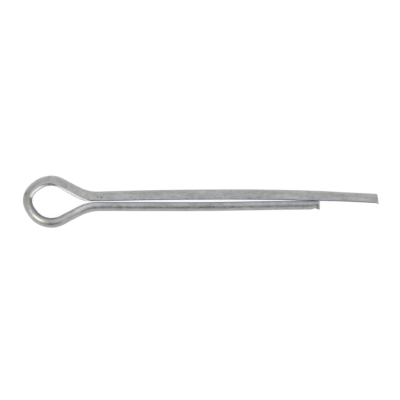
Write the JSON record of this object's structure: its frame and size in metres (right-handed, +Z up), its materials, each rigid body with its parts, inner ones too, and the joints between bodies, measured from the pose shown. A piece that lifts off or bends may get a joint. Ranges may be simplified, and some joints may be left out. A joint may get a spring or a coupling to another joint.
{
  "type": "cotter pin",
  "caption": "Cotter pin bent from half-round wire, with a teardrop eye and a straight split shank whose legs end at different lengths.",
  "frame": {"origin": "centre of the bounding box in plan, at the level of the surface that the pin lies on", "axes": "+X runs along the shank from the eye to the long leg's tip, +Y across the loop toward the long leg's side, +Z up from the surface it lies on"},
  "size_m": [0.0588, 0.0086, 0.003],
  "materials": {
    "zinc_wire": "zinc-plated steel wire, satin, lightly mottled"
  },
  "bodies": {
    "root": {"pin_wire": "zinc_wire"}
  },
  "joints": []
}
